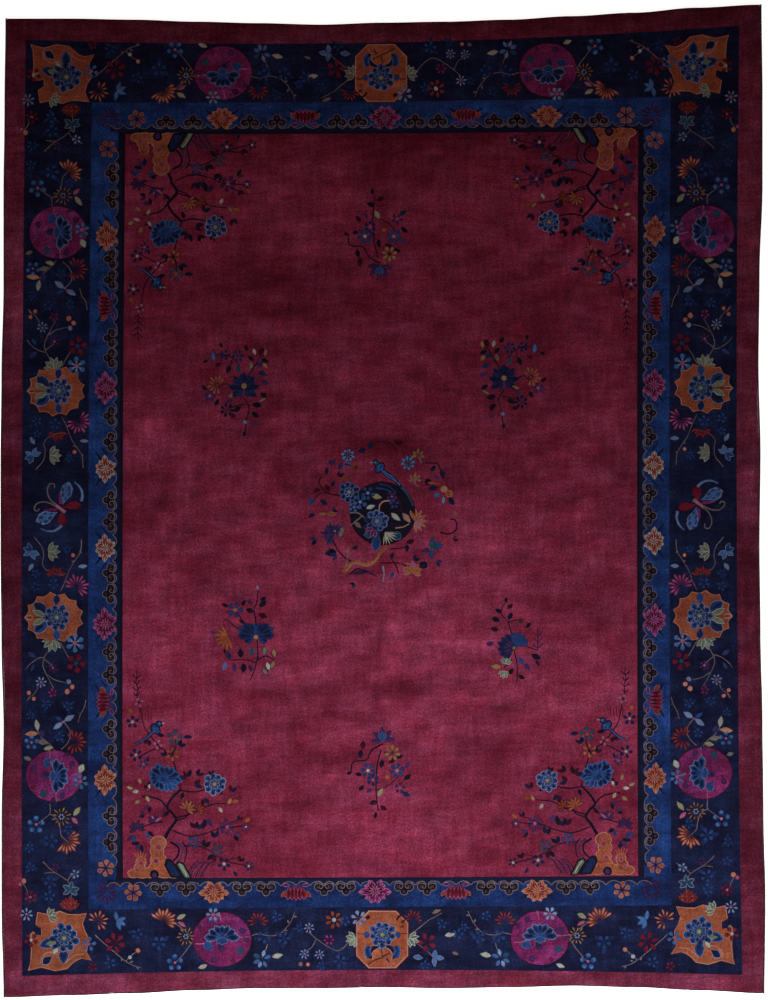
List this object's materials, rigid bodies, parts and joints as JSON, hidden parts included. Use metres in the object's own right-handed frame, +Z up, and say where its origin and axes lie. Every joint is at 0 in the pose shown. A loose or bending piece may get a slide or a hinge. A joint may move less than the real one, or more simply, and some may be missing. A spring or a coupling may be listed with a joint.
{
  "type": "peking rug",
  "caption": "Room-size knotted wool rug lying flat, plum field with a blue and a navy flower border and bound edges.",
  "frame": {"origin": "on the floor under the middle of the rug's box", "axes": "+Y along the rug's length towards its far end, +X to the right across its width, +Z up out of the pile"},
  "size_m": [2.7576, 3.5784, 0.0157],
  "materials": {
    "plum_pile": "low cut wool pile, plum red, faded in soft bands",
    "navy_pile": "low cut wool pile, dark navy",
    "blue_pile": "low cut wool pile, mid blue",
    "pale_blue_wool": "low cut wool pile, pale blue",
    "orange_wool": "low cut wool pile, soft orange",
    "gold_wool": "low cut wool pile, tan gold",
    "cream_wool": "low cut wool pile, undyed cream",
    "green_wool": "low cut wool pile, grey green",
    "magenta_wool": "low cut wool pile, purple magenta",
    "red_wool": "low cut wool pile, red",
    "side_binding_wool": "wound wool yarn, olive brown",
    "end_binding_wool": "wound wool yarn, dark brown",
    "cotton": "cotton warp ends, off white"
  },
  "bodies": {
    "root": {"rug_body": "plum_pile", "side_binding_left": "side_binding_wool", "side_binding_right": "side_binding_wool", "end_binding_near": "end_binding_wool", "end_binding_far": "end_binding_wool"}
  },
  "joints": []
}
